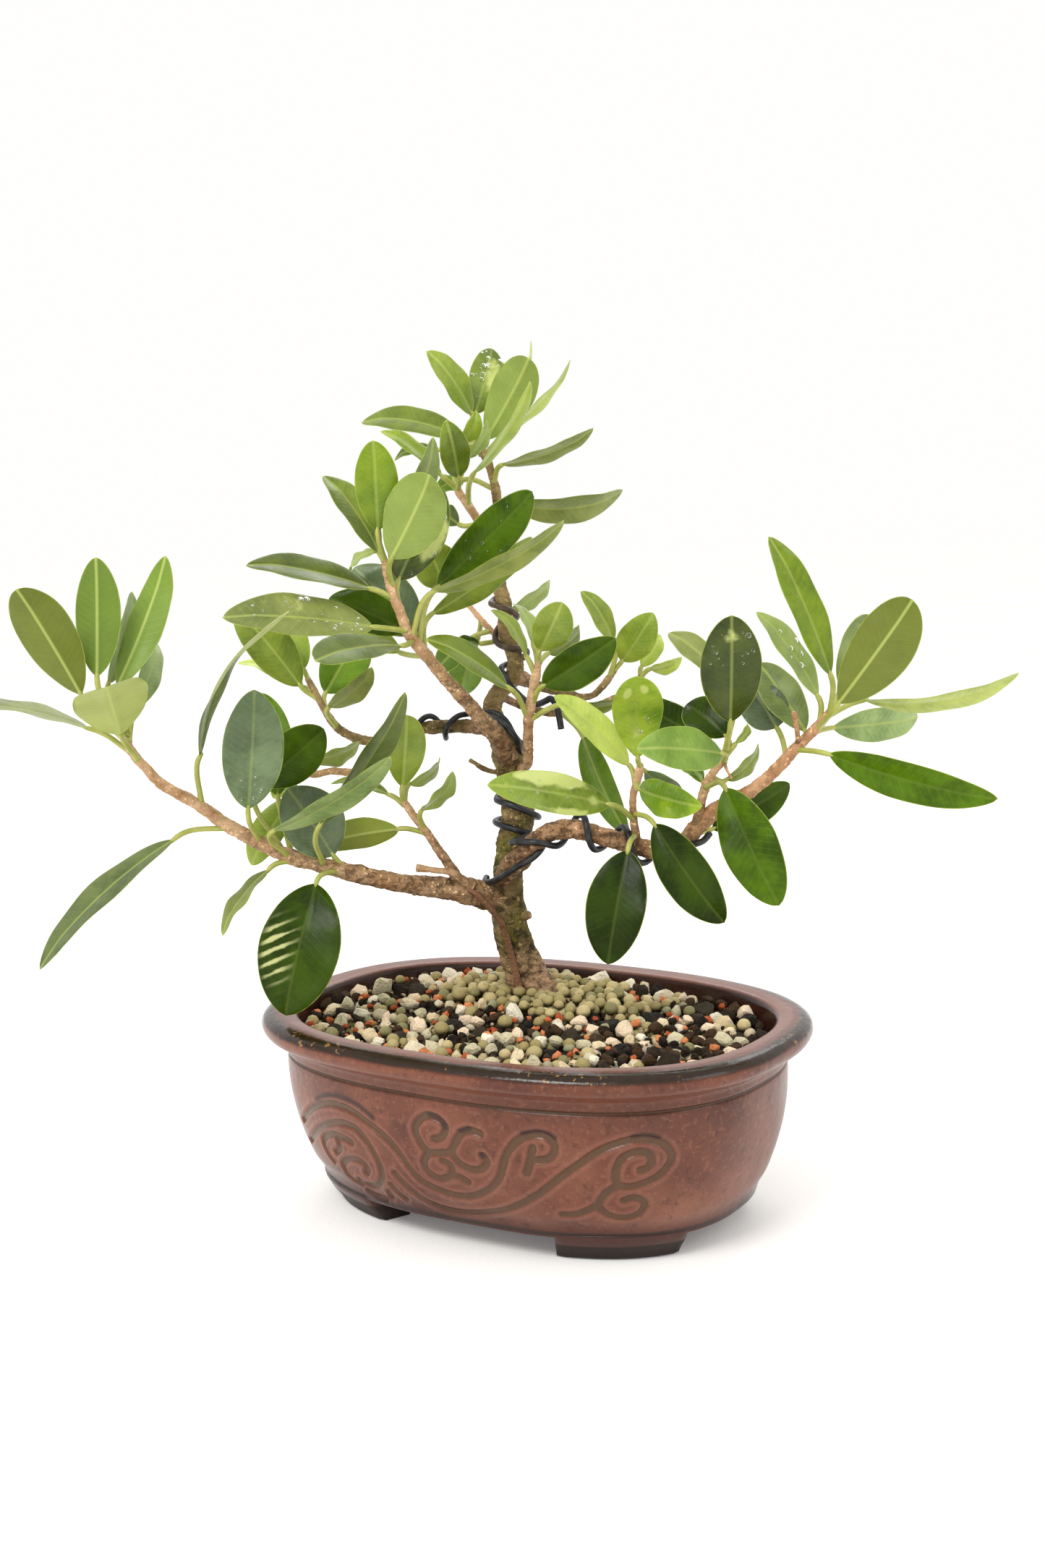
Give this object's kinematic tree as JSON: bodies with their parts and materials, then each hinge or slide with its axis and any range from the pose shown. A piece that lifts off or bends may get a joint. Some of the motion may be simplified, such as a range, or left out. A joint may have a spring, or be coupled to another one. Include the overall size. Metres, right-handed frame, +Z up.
{
  "type": "potted bonsai tree",
  "caption": "Small broad-leaved bonsai tree with wired branches and glossy drooping leaves, growing from gritty soil in an oval glazed ceramic pot on corner feet.",
  "frame": {"origin": "middle of the bounding box in plan, on the surface that the pot's feet stand on", "axes": "+Z up; +X along the pot's long axis, to the right when the pot's long front side faces the viewer; -Y out of that front side"},
  "size_m": [0.2556, 0.1704, 0.2459],
  "materials": {
    "glaze": "semi-gloss rose-brown glaze",
    "soil": "damp dark soil",
    "dressing": "loose pumice, grit and clay beads",
    "screen": "black plastic mesh",
    "bark": "matte grey-brown bark with horizontal rings",
    "young_bark": "brown young bark",
    "wire": "charcoal-black anodised wire",
    "leaf_upper": "waxy deep green",
    "leaf_under": "pale yellow-green underside"
  },
  "bodies": {
    "root": {"pot": "glaze", "drain_screen_1": "screen", "drain_screen_2": "screen", "soil": "soil", "top_dressing": "dressing", "trunk": "bark", "branch_left": "bark", "branch_front": "bark", "branch_back_left": "bark", "twig_back_low": "young_bark", "twig_left_upright": "young_bark", "twig_apex_left": "young_bark", "twig_back": "young_bark", "twig_upright": "young_bark", "branch_back_right": "bark", "twig_back_right_low": "young_bark", "branch_right": "young_bark", "twig_right_one": "young_bark", "twig_right_two": "young_bark", "leaf_left_01": "leaf_under", "leaf_left_06": "leaf_under", "leaf_left_07": "leaf_upper", "leaf_left_08": "leaf_upper", "leaf_left_09": "leaf_upper", "leaf_left_10": "leaf_upper", "leaf_left_13": "leaf_upper", "leaf_left_14": "leaf_upper", "leaf_left_15": "leaf_upper", "leaf_left_17": "leaf_upper", "leaf_front_01": "leaf_under", "leaf_front_04": "leaf_upper", "leaf_front_05": "leaf_upper", "leaf_front_06": "leaf_upper", "leaf_front_09": "leaf_upper", "leaf_front_11": "leaf_upper", "leaf_front_12": "leaf_upper", "leaf_apex_01": "leaf_upper", "leaf_apex_02": "leaf_upper", "leaf_apex_03": "leaf_under", "leaf_apex_08": "leaf_upper", "leaf_apex_09": "leaf_upper", "leaf_middle_05": "leaf_upper", "leaf_middle_06": "leaf_upper", "leaf_right_01": "leaf_upper", "leaf_right_04": "leaf_upper", "leaf_right_05": "leaf_upper", "leaf_right_06": "leaf_upper", "leaf_right_08": "leaf_upper", "leaf_right_09": "leaf_upper", "leaf_right_15": "leaf_upper", "leaf_tip_01": "leaf_upper", "leaf_tip_03": "leaf_under", "leaf_tip_05": "leaf_upper", "leaf_tip_07": "leaf_upper", "wire_lower": "wire", "wire_upper": "wire", "wire_back_left": "wire"}
  },
  "joints": []
}
